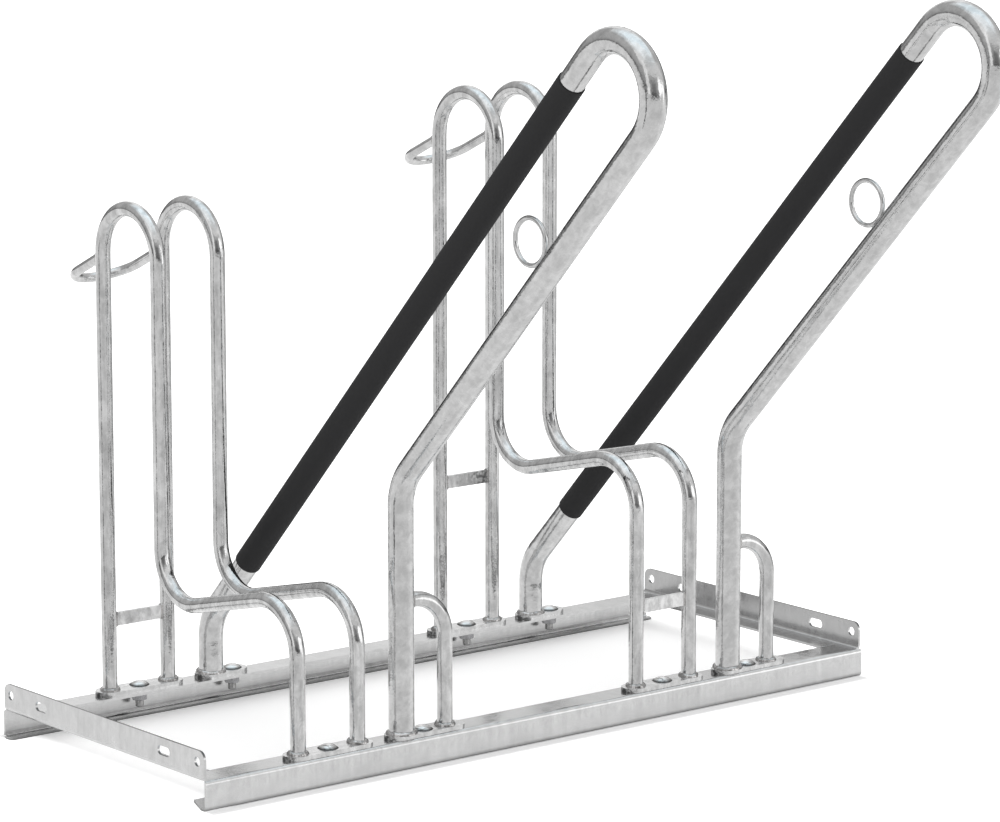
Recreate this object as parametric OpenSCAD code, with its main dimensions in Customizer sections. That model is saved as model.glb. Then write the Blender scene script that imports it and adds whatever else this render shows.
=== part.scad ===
// Two-place bike leaning rack: a bolted base frame, a low and a high wheel
// holder and two leaning bows. The front, where the bikes come in, faces -Y.

/* [Base frame] */
// Length of the unit from end plate to end plate
unit_length = 994; // [980:2:1200]
// Depth of the base frame from front face to rear face
base_depth = 413; // [390:1:460]
// Height of the rails above the ground
rail_height = 35; // [33:1:50]
// Thickness of the folded steel sheet
sheet = 3; // [2.5:0.25:4]
// Width of the top flange of both long rails
rail_flange = 38; // [36:1:44]
// Width of the bottom lip of the front rail
front_lip = 43.5; // [36:0.5:50]
// Width of the bottom lip of the rear rail
rear_lip = 16; // [14:0.5:30]
// Inner bend radius of the long rails
rail_bend = 2; // [1.5:0.25:3]
// Straight end of each bottom lip before its slanted cut
lip_cut_start = 10; // [9:0.5:13]
// Slant of the cut at the ends of the bottom lips
lip_cut_angle = 22; // [10:1:30]

/* [End rails] */
// Height of the end plates above the rails
end_rise = 32.5; // [31:0.5:45]
// Width of the flat flange of the end rails
end_flange = 32; // [26:1:40]
// Inner bend radius of the end rails
end_bend = 5; // [4:0.5:6]
// Rounding of the upper corners of the end plates
end_corner = 10; // [6:1:10]
// Diameter of the round joining holes
join_hole = 11; // [9:0.5:12]
// Distance of the round joining holes from the rail faces
join_hole_inset = 16.5; // [16:0.5:30]
// Height of the round joining holes above the rails
join_hole_rise = 19.5; // [18:0.5:20]
// Width of the joining slots
join_slot = 11; // [9:0.5:12]
// Overall length of the joining slots
join_slot_length = 24; // [20:1:40]
// Distance of the middles of the joining slots from the rail faces
join_slot_inset = 81.5; // [60:0.5:100]
// Height of the joining slots above the rails
join_slot_rise = 18; // [17:0.5:20]

/* [Places] */
// Gap to the next unit when units are joined in a row
unit_gap = 6; // [4:1:20]
// Distance from a wheel holder to its leaning bow
bow_offset = 105; // [100:1:110]
// Distance from the rail faces to the rows of feet
foot_inset = 17.5; // [17:0.25:20]

/* [Wheel holders] */
// Diameter of the holder tubes
holder_tube = 18; // [16:0.5:20]
// Wall of the holder tubes
holder_wall = 2; // [1.5:0.25:2.5]
// Distance between the middles of the two tubes
holder_gap = 83.5; // [78:0.5:86]
// Height of the low holder at the middle of its arch
low_arch_height = 566.5; // [520:0.5:600]
// Middle-line radius of the arch of a holder
holder_arch = 56.5; // [50:0.5:60]
// Height of the low trough where it would meet the inner legs unbent
low_trough_height = 159; // [145:1:175]
// Middle-line radius of the two lower holder bends
trough_bend = 56.5; // [46:0.5:58]
// Slope of the trough toward the front
trough_slope = 13.3; // [8:0.1:16]
// Extra height of the high holder
high_rise = 101; // [80:1:130]

/* [Flat bars] */
// Height of the flat bars
bar_height = 16; // [12:1:20]
// Thickness of the flat bars
bar_thickness = 5; // [4:0.5:8]
// Height of the middle of the low rear bar
low_rear_bar_height = 125; // [110:1:160]
// Height of the middle of the high rear bar
high_rear_bar_height = 227.5; // [180:0.5:260]
// Height of the middle of the high front bar
high_front_bar_height = 136; // [110:1:180]

/* [Lock loops] */
// Diameter of the lock loop rod
loop_rod = 11.5; // [8:0.5:12]
// Distance of the loop ends below the arch middle
loop_below_arch = 3.5; // [3:0.5:14]
// Reach of the loop behind the holder tubes
loop_reach = 96.5; // [80:0.5:120]
// Fall of the loop toward the rear
loop_fall = 25; // [10:1:35]

/* [Leaning bows] */
// Diameter of the bow tube
bow_tube = 30; // [27:0.5:32]
// Wall of the bow tube
bow_wall = 2.5; // [2:0.25:3]
// Lean of the bow from upright
bow_lean = 43.9; // [41:0.1:46]
// Middle-line radius of the arch of the bow
bow_arch = 58.5; // [54:0.5:64]
// Height at which the leaning line meets the rear leg
bow_corner_height = 106.3; // [100:0.1:130]
// Length of the leaning line up to the arch
bow_reach = 1024; // [960:1:1060]
// Middle-line radius of the rear bend
bow_rear_bend = 64; // [50:1:68]
// Middle-line radius of the front bend
bow_front_bend = 66; // [55:1:90]

/* [Sleeves] */
// Outer diameter of the black sleeve
sleeve_outer = 32.6; // [32.5:0.1:35]
// Distance from the arch to the sleeve
sleeve_start = 45; // [35:1:80]
// Length of the sleeve
sleeve_length = 864; // [780:1:870]
// Gap around the tube inside the sleeve
sleeve_clearance = 0.1; // [0.05:0.05:0.2]

/* [Lock eyes] */
// Outer diameter of the lock eye
eye_outer = 58; // [50:1:64]
// Diameter of the lock eye wire
eye_wire = 6; // [5:0.5:8]
// Distance of the eye from the arch along the lower line
eye_drop = 221; // [150:1:300]
// Depth of the eye in its weld on the tube
eye_sink = 0.8; // [0.4:0.1:1.2]

/* [Braces] */
// Diameter of the brace tube
brace_tube = 18; // [16:0.5:20]
// Wall of the brace tube
brace_wall = 2; // [1.5:0.25:2.5]
// Distance from the bow leg to the brace leg
brace_gap = 63; // [60:0.5:66]
// Height of the brace where it meets the bow leg
brace_height = 194.5; // [170:0.5:230]
// Middle-line radius of the brace bend
brace_bend = 46; // [36:1:47]

/* [Foot plates] */
// Width of the foot plates
foot_width = 30; // [28:0.5:32]
// Thickness of the foot plates
foot_thickness = 5; // [4:0.5:6]
// Length of the foot plates under a wheel holder
holder_foot_length = 120; // [116:1:124]
// Distance from the bow leg to the left end of its plates
bow_foot_left = 21.5; // [20:0.5:24]
// Distance from the bow leg to the right end of the rear plate
bow_rear_foot_right = 50; // [44:1:58]
// Distance from the bow leg to the right end of the front plate
bow_front_foot_right = 88; // [84:1:92]
// Size of the weld around the foot of a tube
weld = 3; // [2:0.5:3.5]

/* [Fasteners] */
// Diameter of the bolt shank
bolt = 10; // [8:0.5:10]
// Diameter of the bolt head
bolt_head = 24.5; // [20:0.5:25]
// Height of the domed bolt head
bolt_head_height = 5; // [4:0.5:6]
// Distance from the bow leg to its bolts
bow_bolt_offset = 30.5; // [30.5:0.5:32]
// Length of bolt below the nut
bolt_tail = 8.7; // [2:0.1:8.8]
// Distance across the flats of the nut
nut_flats = 17; // [15:0.5:17]
// Height of the nut
nut_height = 8; // [6:0.5:8]
// Diameter of the washer
washer = 20; // [17:0.5:21]
// Thickness of the washer
washer_thickness = 2; // [1:0.25:2]
// Diameter of the locating pegs
peg = 10; // [8:0.5:10]
// Distance from each bolt to its peg
peg_gap = 22; // [21:0.5:23]
// Length of peg that shows below the rail flange
peg_tail = 3; // [1:0.5:5]
// Gap around bolts and pegs in the rails
hole_clearance = 1; // [0.4:0.1:1.2]
// Gap around the bolt in the plate, the washer and the nut
fit_clearance = 0.2; // [0.1:0.05:0.4]

/* [Hidden] */
$fn = 72;
// Overrun of every cut past the face it goes through
overrun = 1;
// Lead-in at the end of the bolts and at the corners of the nuts
lead_in = 1;
// Swell of a bent length over the straight lengths, on every side
swell = 0.05;
// Length by which a straight length sits inside the bend it meets
socket = 0.5;

rail_fold = rail_bend + sheet;
end_fold = end_bend + sheet;
under_flange = rail_height - sheet;
end_top = rail_height + end_rise;
foot_top = rail_height + foot_thickness;
front_row = foot_inset;
rear_row = base_depth - foot_inset;

pitch = (unit_length + unit_gap) / 2;
feet_length = holder_foot_length / 2 + pitch + bow_offset + bow_front_foot_right;
first_holder = (unit_length - feet_length + holder_foot_length) / 2;
holder_places = [first_holder, first_holder + pitch];
bow_places = [first_holder + bow_offset, first_holder + bow_offset + pitch];
bolt_places = [for (i = [0, 1]) each [holder_places[i], bow_places[i] + bow_bolt_offset]];

inner_leg_row = rear_row - 2 * holder_arch;
trough_turn = 90 + trough_slope;
trough_start = inner_leg_row - trough_bend - trough_bend * sin(trough_slope);
trough_end = front_row + trough_bend + trough_bend * sin(trough_slope);
trough_length = (trough_start - trough_end) / cos(trough_slope);
trough_tangent = trough_bend * tan(trough_turn / 2);
low_inner_bend = low_trough_height + trough_tangent;
low_front_leg = low_trough_height + (inner_leg_row - front_row) * tan(trough_slope) - trough_tangent;

loop_half = holder_gap / 2;
loop_straight = loop_reach - loop_half;

bow_rear_tangent = bow_rear_bend * tan(bow_lean / 2);
bow_front_tangent = bow_front_bend * tan(bow_lean / 2);
bow_spread = 2 * bow_arch;
lower_line_row = rear_row - bow_spread * cos(bow_lean);
lower_line_height = bow_corner_height - bow_spread * sin(bow_lean);
lower_corner_run = (lower_line_row - front_row) / sin(bow_lean);
lower_corner_height = lower_line_height + lower_corner_run * cos(bow_lean);
bow_rear_leg = bow_corner_height - bow_rear_tangent - foot_top;
bow_upper_line = bow_reach - bow_rear_tangent;
bow_lower_line = bow_reach - lower_corner_run - bow_front_tangent;
bow_front_leg = lower_corner_height - bow_front_tangent - foot_top;

eye_offset = (bow_tube + eye_outer) / 2 - eye_sink;

washer_bottom = under_flange - washer_thickness;
nut_bottom = washer_bottom - nut_height;
bolt_bottom = nut_bottom - bolt_tail;
head_sphere = (bolt_head * bolt_head / 4 + bolt_head_height * bolt_head_height) / (2 * bolt_head_height);

front_edge = rear_row - bow_reach * sin(bow_lean) - bow_arch * cos(bow_lean) - bow_arch - bow_tube / 2 - swell;
rear_edge = rear_row + loop_reach * cos(loop_fall) + loop_rod / 2 + swell;
middle_row = (front_edge + rear_edge) / 2;

steel = "#b8bcbf";
bright = "#cfd2d4";
black = "#2f3032";

// Quarter of a ring in the lower left corner of a fold
module fold_corner(inner, outer) {
    intersection() {
        difference() {
            circle(r = outer);
            circle(r = inner);
        }
        translate([-outer - overrun, -outer - overrun])
            square([outer + overrun, outer + overrun]);
    }
}

// Channel section with the web on the left, the lip below and the flange on top
module rail_section(lip) {
    translate([0, rail_fold])
        square([sheet, rail_height - 2 * rail_fold]);
    translate([rail_fold, under_flange])
        square([rail_flange - rail_fold, sheet]);
    translate([rail_fold, 0])
        square([lip - rail_fold, sheet]);
    translate([rail_fold, rail_fold])
        fold_corner(rail_bend, rail_fold);
    translate([rail_fold, rail_height - rail_fold])
        mirror([0, 1])
            fold_corner(rail_bend, rail_fold);
}

// Everything that is cut away at the left end of a rail
module rail_end_cut(lip) {
    slant = tan(lip_cut_angle);
    translate([-overrun, sheet, rail_height - rail_fold])
        cube([end_fold + overrun, rail_flange, rail_fold + overrun]);
    translate([0, 0, -overrun])
        linear_extrude(height = rail_fold + overrun)
            polygon([[-overrun, lip_cut_start], [0, lip_cut_start],
                [(lip + overrun - lip_cut_start) * slant, lip + overrun],
                [-overrun, lip + overrun]]);
}

// Holes for the bolts and the pegs in the top flange
module rail_holes() {
    for (x = bolt_places) {
        translate([x, foot_inset, under_flange - overrun])
            cylinder(d = bolt + hole_clearance, h = sheet + 2 * overrun);
        translate([x - peg_gap, foot_inset, under_flange - overrun])
            cylinder(d = peg + hole_clearance, h = sheet + 2 * overrun);
    }
}

module rail(lip) {
    difference() {
        rotate([90, 0, 90])
            linear_extrude(height = unit_length)
                rail_section(lip);
        rail_end_cut(lip);
        translate([unit_length, 0, 0])
            mirror([1, 0, 0])
                rail_end_cut(lip);
        rail_holes();
    }
}

module front_rail() {
    color(steel)
        rail(front_lip);
}

module rear_rail() {
    color(steel)
        translate([0, base_depth, 0])
            mirror([0, 1, 0])
                rail(rear_lip);
}

// Angle section of an end rail with its foot turned inward
module end_section() {
    translate([0, under_flange + end_fold])
        square([sheet, end_top - under_flange - end_fold]);
    translate([end_fold, under_flange])
        square([end_flange - end_fold, sheet]);
    translate([end_fold, under_flange + end_fold])
        fold_corner(end_bend, end_fold);
}

// Side view of an end rail with its two rounded upper corners
module end_outline() {
    reach = base_depth - 2 * sheet;
    translate([sheet, under_flange - overrun])
        square([reach, end_top - end_corner - under_flange + overrun]);
    translate([sheet + end_corner, under_flange])
        square([reach - 2 * end_corner, end_top - under_flange]);
    for (y = [sheet + end_corner, base_depth - sheet - end_corner])
        translate([y, end_top - end_corner])
            circle(r = end_corner);
}

// Cylinder that goes through an end plate
module end_drill(y, height, size) {
    translate([-overrun, y, height])
        rotate([0, 90, 0])
            cylinder(d = size, h = sheet + 2 * overrun);
}

module end_slot(y) {
    half = (join_slot_length - join_slot) / 2;
    height = rail_height + join_slot_rise;
    end_drill(y - half, height, join_slot);
    end_drill(y + half, height, join_slot);
    translate([-overrun, y - half, height - join_slot / 2])
        cube([sheet + 2 * overrun, 2 * half, join_slot]);
}

module end_rail() {
    difference() {
        intersection() {
            translate([0, base_depth - sheet, 0])
                rotate([90, 0, 0])
                    linear_extrude(height = base_depth - 2 * sheet)
                        end_section();
            translate([-overrun, 0, 0])
                rotate([90, 0, 90])
                    linear_extrude(height = end_flange + 2 * overrun)
                        end_outline();
        }
        for (y = [-overrun, base_depth - rail_flange])
            translate([end_fold, y, under_flange - overrun])
                cube([end_flange, rail_flange + overrun, sheet + 2 * overrun]);
        for (y = [join_hole_inset, base_depth - join_hole_inset])
            end_drill(y, rail_height + join_hole_rise, join_hole);
        for (y = [join_slot_inset, base_depth - join_slot_inset])
            end_slot(y);
    }
}

module left_end_rail() {
    color(steel)
        end_rail();
}

module right_end_rail() {
    color(steel)
        translate([unit_length, 0, 0])
            mirror([1, 0, 0])
                end_rail();
}

// Straight hollow tube; what follows starts at its far end
module tube_run(outer, wall, length, behind = socket, ahead = socket) {
    translate([0, 0, -behind])
        difference() {
            cylinder(d = outer, h = length + behind + ahead);
            translate([0, 0, -overrun])
                cylinder(d = outer - 2 * wall, h = length + behind + ahead + 2 * overrun);
        }
    translate([0, 0, length])
        children();
}

// Bent hollow tube; what follows starts at its far end
module tube_bend(outer, wall, radius, turn, spin = 0) {
    rotate([0, 0, spin]) {
        translate([radius, 0, 0])
            rotate([90, 0, 180])
                rotate_extrude(angle = turn)
                    translate([radius, 0])
                        difference() {
                            circle(d = outer + 2 * swell);
                            circle(d = outer - 2 * wall - 2 * swell);
                        }
        translate([radius * (1 - cos(turn)), 0, radius * sin(turn)])
            rotate([0, turn, 0])
                rotate([0, 0, -spin])
                    children();
    }
}

// One bent tube of a wheel holder, from its rear foot to its front foot
module holder_path(rise) {
    translate([0, rear_row, foot_top])
        rotate([0, 0, -90])
            tube_run(holder_tube, holder_wall, low_arch_height + rise - foot_top, 0)
                tube_bend(holder_tube, holder_wall, holder_arch, 180)
                    tube_run(holder_tube, holder_wall, low_arch_height - low_inner_bend)
                        tube_bend(holder_tube, holder_wall, trough_bend, trough_turn, 180)
                            tube_run(holder_tube, holder_wall, trough_length)
                                tube_bend(holder_tube, holder_wall, trough_bend, trough_turn)
                                    tube_run(holder_tube, holder_wall, low_front_leg + rise - foot_top, socket, 0);
}

// Flat bar between the two legs, hollowed to sit against the round tubes
module leg_bar(row, height) {
    difference() {
        translate([-holder_gap / 2, row - bar_thickness / 2, height - bar_height / 2])
            cube([holder_gap, bar_thickness, bar_height]);
        for (side = [-1, 1])
            translate([side * holder_gap / 2, row, height - bar_height])
                cylinder(d = holder_tube, h = 2 * bar_height);
    }
}

// Round loop behind the legs, falling toward the rear
module lock_loop(rise) {
    height = low_arch_height + rise - loop_below_arch;
    difference() {
        translate([0, rear_row, height])
            rotate([-loop_fall, 0, 0]) {
                translate([0, loop_straight, 0])
                    rotate_extrude(angle = 180)
                        translate([loop_half, 0])
                            circle(d = loop_rod + 2 * swell);
                for (side = [-1, 1])
                    translate([side * loop_half, 0, 0])
                        rotate([-90, 0, 0])
                            cylinder(d = loop_rod, h = loop_straight + socket);
            }
        for (side = [-1, 1])
            translate([side * loop_half, rear_row, height - loop_reach])
                cylinder(d = holder_tube, h = 2 * loop_reach);
    }
}

// Ring of weld around the foot of a tube
module foot_weld(outer) {
    rotate_extrude()
        translate([outer / 2, 0])
            polygon([[0, 0], [weld, 0], [0, weld]]);
}

// Foot plate with half-round ends and a square hole for the bolt
module foot_plate(left, right, bolt_at) {
    side = bolt + fit_clearance;
    difference() {
        union() {
            translate([left + foot_width / 2, -foot_width / 2, 0])
                cube([right - left - foot_width, foot_width, foot_thickness]);
            for (x = [left + foot_width / 2, right - foot_width / 2])
                translate([x, 0, 0])
                    cylinder(d = foot_width, h = foot_thickness);
        }
        translate([bolt_at - side / 2, -side / 2, -overrun])
            cube([side, side, foot_thickness + 2 * overrun]);
    }
}

module holder_foot(row) {
    translate([0, row, rail_height]) {
        foot_plate(-holder_foot_length / 2, holder_foot_length / 2, 0);
        for (side = [-1, 1])
            translate([side * holder_gap / 2, 0, foot_thickness])
                foot_weld(holder_tube);
    }
}

module low_holder_left_tube() {
    color(steel)
        translate([holder_places[0] - holder_gap / 2, 0, 0])
            holder_path(0);
}

module low_holder_right_tube() {
    color(steel)
        translate([holder_places[0] + holder_gap / 2, 0, 0])
            holder_path(0);
}

module low_holder_rear_bar() {
    color(steel)
        translate([holder_places[0], 0, 0])
            leg_bar(rear_row, low_rear_bar_height);
}

module low_holder_lock_loop() {
    color(steel)
        translate([holder_places[0], 0, 0])
            lock_loop(0);
}

module low_holder_front_foot() {
    color(steel)
        translate([holder_places[0], 0, 0])
            holder_foot(front_row);
}

module low_holder_rear_foot() {
    color(steel)
        translate([holder_places[0], 0, 0])
            holder_foot(rear_row);
}

module high_holder_left_tube() {
    color(steel)
        translate([holder_places[1] - holder_gap / 2, 0, 0])
            holder_path(high_rise);
}

module high_holder_right_tube() {
    color(steel)
        translate([holder_places[1] + holder_gap / 2, 0, 0])
            holder_path(high_rise);
}

module high_holder_rear_bar() {
    color(steel)
        translate([holder_places[1], 0, 0])
            leg_bar(rear_row, high_rear_bar_height);
}

module high_holder_front_bar() {
    color(steel)
        translate([holder_places[1], 0, 0])
            leg_bar(front_row, high_front_bar_height);
}

module high_holder_lock_loop() {
    color(steel)
        translate([holder_places[1], 0, 0])
            lock_loop(high_rise);
}

module high_holder_front_foot() {
    color(steel)
        translate([holder_places[1], 0, 0])
            holder_foot(front_row);
}

module high_holder_rear_foot() {
    color(steel)
        translate([holder_places[1], 0, 0])
            holder_foot(rear_row);
}

// Bow from its rear foot up the leaning line, round the arch and back down
module bow_path() {
    translate([0, rear_row, foot_top])
        rotate([0, 0, -90])
            tube_run(bow_tube, bow_wall, bow_rear_leg, 0)
                tube_bend(bow_tube, bow_wall, bow_rear_bend, bow_lean)
                    tube_run(bow_tube, bow_wall, bow_upper_line)
                        tube_bend(bow_tube, bow_wall, bow_arch, 180)
                            tube_run(bow_tube, bow_wall, bow_lower_line)
                                tube_bend(bow_tube, bow_wall, bow_front_bend, bow_lean, 180)
                                    tube_run(bow_tube, bow_wall, bow_front_leg, socket, 0);
}

// Frame that runs up the leaning line from its corner over the rear leg
module on_leaning_line() {
    translate([0, rear_row, bow_corner_height])
        rotate([bow_lean, 0, 0])
            children();
}

module sleeve() {
    on_leaning_line()
        translate([0, 0, bow_reach - sleeve_start - sleeve_length])
            difference() {
                cylinder(d = sleeve_outer, h = sleeve_length);
                translate([0, 0, -overrun])
                    cylinder(d = bow_tube + 2 * sleeve_clearance, h = sleeve_length + 2 * overrun);
            }
}

module lock_eye() {
    on_leaning_line()
        difference() {
            translate([0, eye_offset - bow_spread, bow_reach - eye_drop])
                rotate([0, 90, 0])
                    rotate_extrude()
                        translate([(eye_outer - eye_wire) / 2, 0])
                            circle(d = eye_wire);
            translate([0, -bow_spread, bow_reach - eye_drop - eye_outer])
                cylinder(d = bow_tube, h = 2 * eye_outer);
        }
}

// Quarter arch from its own foot to the front leg of the bow
module brace() {
    difference() {
        translate([brace_gap, front_row, foot_top])
            rotate([0, 0, 180])
                tube_run(brace_tube, brace_wall, brace_height - brace_bend - foot_top, 0)
                    tube_bend(brace_tube, brace_wall, brace_bend, 90)
                        tube_run(brace_tube, brace_wall, brace_gap - brace_bend, socket, 0);
        translate([0, front_row, brace_height - brace_gap])
            cylinder(d = bow_tube, h = 2 * brace_gap);
    }
}

module bow_rear_foot() {
    translate([0, rear_row, rail_height]) {
        foot_plate(-bow_foot_left, bow_rear_foot_right, bow_bolt_offset);
        translate([0, 0, foot_thickness])
            foot_weld(bow_tube);
    }
}

module bow_front_foot() {
    translate([0, front_row, rail_height]) {
        foot_plate(-bow_foot_left, bow_front_foot_right, bow_bolt_offset);
        translate([0, 0, foot_thickness])
            foot_weld(bow_tube);
        translate([brace_gap, 0, foot_thickness])
            foot_weld(brace_tube);
    }
}

module left_bow_tube() {
    color(steel)
        translate([bow_places[0], 0, 0])
            bow_path();
}

module left_bow_sleeve() {
    color(black)
        translate([bow_places[0], 0, 0])
            sleeve();
}

module left_bow_lock_eye() {
    color(steel)
        translate([bow_places[0], 0, 0])
            lock_eye();
}

module left_bow_brace() {
    color(steel)
        translate([bow_places[0], 0, 0])
            brace();
}

module left_bow_front_foot() {
    color(steel)
        translate([bow_places[0], 0, 0])
            bow_front_foot();
}

module left_bow_rear_foot() {
    color(steel)
        translate([bow_places[0], 0, 0])
            bow_rear_foot();
}

module right_bow_tube() {
    color(steel)
        translate([bow_places[1], 0, 0])
            bow_path();
}

module right_bow_sleeve() {
    color(black)
        translate([bow_places[1], 0, 0])
            sleeve();
}

module right_bow_lock_eye() {
    color(steel)
        translate([bow_places[1], 0, 0])
            lock_eye();
}

module right_bow_brace() {
    color(steel)
        translate([bow_places[1], 0, 0])
            brace();
}

module right_bow_front_foot() {
    color(steel)
        translate([bow_places[1], 0, 0])
            bow_front_foot();
}

module right_bow_rear_foot() {
    color(steel)
        translate([bow_places[1], 0, 0])
            bow_rear_foot();
}

// Puts one copy at every bolt on both rows of feet
module at_every_bolt() {
    for (x = bolt_places)
        for (y = [front_row, rear_row])
            translate([x, y, 0])
                children();
}

// Bolt with a domed head, a square neck and a round shank
module carriage_bolt() {
    intersection() {
        translate([0, 0, foot_top + bolt_head_height - head_sphere])
            sphere(r = head_sphere);
        translate([0, 0, foot_top])
            cylinder(d = bolt_head, h = bolt_head_height + overrun);
    }
    translate([-bolt / 2, -bolt / 2, rail_height])
        cube([bolt, bolt, foot_thickness]);
    translate([0, 0, bolt_bottom + lead_in])
        cylinder(d = bolt, h = foot_top - bolt_bottom - lead_in);
    translate([0, 0, bolt_bottom])
        cylinder(d1 = bolt - 2 * lead_in, d2 = bolt, h = lead_in);
}

module carriage_bolts() {
    color(bright)
        at_every_bolt()
            carriage_bolt();
}

module washers() {
    color(bright)
        at_every_bolt()
            translate([0, 0, washer_bottom])
                difference() {
                    cylinder(d = washer, h = washer_thickness);
                    translate([0, 0, -overrun])
                        cylinder(d = bolt + 2 * fit_clearance, h = washer_thickness + 2 * overrun);
                }
}

// Six-sided nut with its lower corners turned off
module nut() {
    corner = nut_flats / cos(30) / 2;
    difference() {
        intersection() {
            cylinder(r = corner, h = nut_height, $fn = 6);
            rotate_extrude()
                polygon([[0, 0], [nut_flats / 2, 0], [nut_flats / 2 + lead_in, lead_in],
                    [nut_flats / 2 + lead_in, nut_height], [0, nut_height]]);
        }
        translate([0, 0, -overrun])
            cylinder(d = bolt + fit_clearance, h = nut_height + 2 * overrun);
    }
}

module nuts() {
    color(bright)
        at_every_bolt()
            translate([0, 0, nut_bottom])
                nut();
}

module locating_pegs() {
    color(bright)
        at_every_bolt()
            translate([-peg_gap, 0, under_flange - peg_tail])
                cylinder(d = peg, h = sheet + peg_tail);
}

translate([-unit_length / 2, -middle_row, 0]) {
    front_rail();
    rear_rail();
    left_end_rail();
    right_end_rail();
    low_holder_left_tube();
    low_holder_right_tube();
    low_holder_rear_bar();
    low_holder_lock_loop();
    low_holder_front_foot();
    low_holder_rear_foot();
    high_holder_left_tube();
    high_holder_right_tube();
    high_holder_rear_bar();
    high_holder_front_bar();
    high_holder_lock_loop();
    high_holder_front_foot();
    high_holder_rear_foot();
    left_bow_tube();
    left_bow_sleeve();
    left_bow_lock_eye();
    left_bow_brace();
    left_bow_front_foot();
    left_bow_rear_foot();
    right_bow_tube();
    right_bow_sleeve();
    right_bow_lock_eye();
    right_bow_brace();
    right_bow_front_foot();
    right_bow_rear_foot();
    carriage_bolts();
    washers();
    nuts();
    locating_pegs();
}
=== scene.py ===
import math

import bpy
from bpy.props import FloatProperty, FloatVectorProperty, PointerProperty
from bpy.types import Operator, Panel, PropertyGroup
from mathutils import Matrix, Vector, noise


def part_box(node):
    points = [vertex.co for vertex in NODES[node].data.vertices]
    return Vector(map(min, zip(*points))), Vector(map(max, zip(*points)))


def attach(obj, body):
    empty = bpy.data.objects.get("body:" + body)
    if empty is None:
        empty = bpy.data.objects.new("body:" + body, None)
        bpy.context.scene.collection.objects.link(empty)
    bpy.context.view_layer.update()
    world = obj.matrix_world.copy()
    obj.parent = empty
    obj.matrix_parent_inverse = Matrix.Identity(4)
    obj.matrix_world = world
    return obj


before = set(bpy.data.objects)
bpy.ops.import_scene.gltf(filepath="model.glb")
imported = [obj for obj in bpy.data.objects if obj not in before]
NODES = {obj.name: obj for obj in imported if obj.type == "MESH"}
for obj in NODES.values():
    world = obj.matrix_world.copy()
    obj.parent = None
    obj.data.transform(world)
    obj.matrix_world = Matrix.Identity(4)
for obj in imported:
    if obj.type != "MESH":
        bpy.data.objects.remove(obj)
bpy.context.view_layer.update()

bl_info = {
    "name": "Bike leaning rack",
    "version": (1, 0, 0),
    "blender": (4, 5, 0),
    "location": "3D View > Sidebar > Rack",
    "description": "Dresses the packed bike leaning rack and sets up its studio",
    "category": "Object",
}

HOLDERS = ("low_holder", "high_holder")
BOWS = ("left_bow", "right_bow")

# Outer radii of the tubes, of the loop's rod and of the eye, as the CAD has them, and how far
# from the eye's middle it meets the tube
HOLDER_TUBE = 0.009
BOW_TUBE = 0.015
BRACE_TUBE = 0.009
LOOP_ROD = 0.00575
EYE = 0.029
EYE_TOUCH = 0.0285
LOOP_FALL = math.radians(25.0)
BOW_LEAN = math.radians(43.9)

# Drop of the loop's ends below the top of the arch's middle line, height of the CAD's plain
# weld, and the heights and rows that welds and finishes go by
LOOP_DROP = 0.060
CAD_WELD = 0.003
PLATE_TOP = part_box("low_holder_front_foot")[1].z - CAD_WELD
FRONT_ROW = (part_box("left_bow_brace")[0].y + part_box("left_bow_brace")[1].y) / 2.0
REAR_ROW = sum(c.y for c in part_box("left_bow_rear_foot")) / 2.0
END_PLATE_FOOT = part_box("front_rail")[1].z + 0.010

# Radii of the weld beads around each kind of joint
BAR_BEAD = 0.0013
LOOP_BEAD = 0.0015
BRACE_BEAD = 0.0016
EYE_BEAD = 0.0018

# The ground seams on the end rails: their radius, how far they lie below the rails' top and in
# from the rails' outer faces, and where they start and end across each end rail
SEAM_BEAD = 0.0010
SEAM_SINK = 0.0006
SEAM_INSET = 0.038
SEAM_START, SEAM_END = 0.009, 0.032

# Heights between which the rear rail's cut edge gives way to its lip, and the lip to the fold
REAR_EDGE_TOP = (0.0028, 0.00296)
REAR_LIP_TOP = (0.00301, 0.0031)
# Painted shade on the rear rail's web above its fold, lifted in steps back to the plain tone: where
# each change starts, where it ends, and its size
REAR_FOLD_SHADE_STEPS = ((0.0048, 0.0054, 0.15), (0.0054, 0.0078, 0.12), (0.0078, 0.0088, 0.18),
                   (0.0088, 0.0240, 0.10))

# The mirrored studio by height: place from straight down, 0, to overhead, 1, and brightness;
# the ends come first, because a new ramp already has them
ROOM_LEVELS = ((0.0, 0.56), (1.0, 0.82), (0.15, 0.51), (0.47, 0.50), (0.486, 0.50),
               (0.508, 0.17), (0.515, 0.11), (0.53, 0.13), (0.55, 0.24), (0.58, 0.27),
               (0.64, 0.32), (0.82, 0.36), (0.88, 0.64), (0.92, 0.78))
# Darker and paler fields of that studio: bearing, half width of the full field and of the
# faded one in degrees, lowest and highest height, fade in height, and change of brightness
ROOM_FIELDS = (
    (208.0, 10.0, 26.0, 0.04, 0.34, 0.08, -0.50),    # dim side
    (278.0, 2.0, 6.0, -0.34, 0.02, 0.06, -0.82),     # flag
    (74.0, 18.0, 44.0, -0.13, 0.02, 0.10, -0.52),    # far floor
    (188.0, 20.0, 45.0, 0.72, 0.90, 0.06, -0.22),    # edge of the softbox
    (322.0, 12.0, 30.0, 0.68, 0.86, 0.05, -0.28),    # corner of the softbox
    (20.0, 60.0, 140.0, -1.0, -0.03, 0.02, 0.16),    # pale floor
    (12.0, 12.0, 30.0, -0.72, -0.06, 0.05, 0.22),    # near floor
    (100.0, 15.0, 55.0, -0.60, -0.05, 0.05, 0.15),   # floor on the right
    (58.0, 9.0, 22.0, -0.17, 0.36, 0.04, -0.58),     # dark side on the right
    (8.0, 8.0, 17.0, -0.02, 0.20, 0.05, -0.52),      # dark side on the left
)

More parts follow.
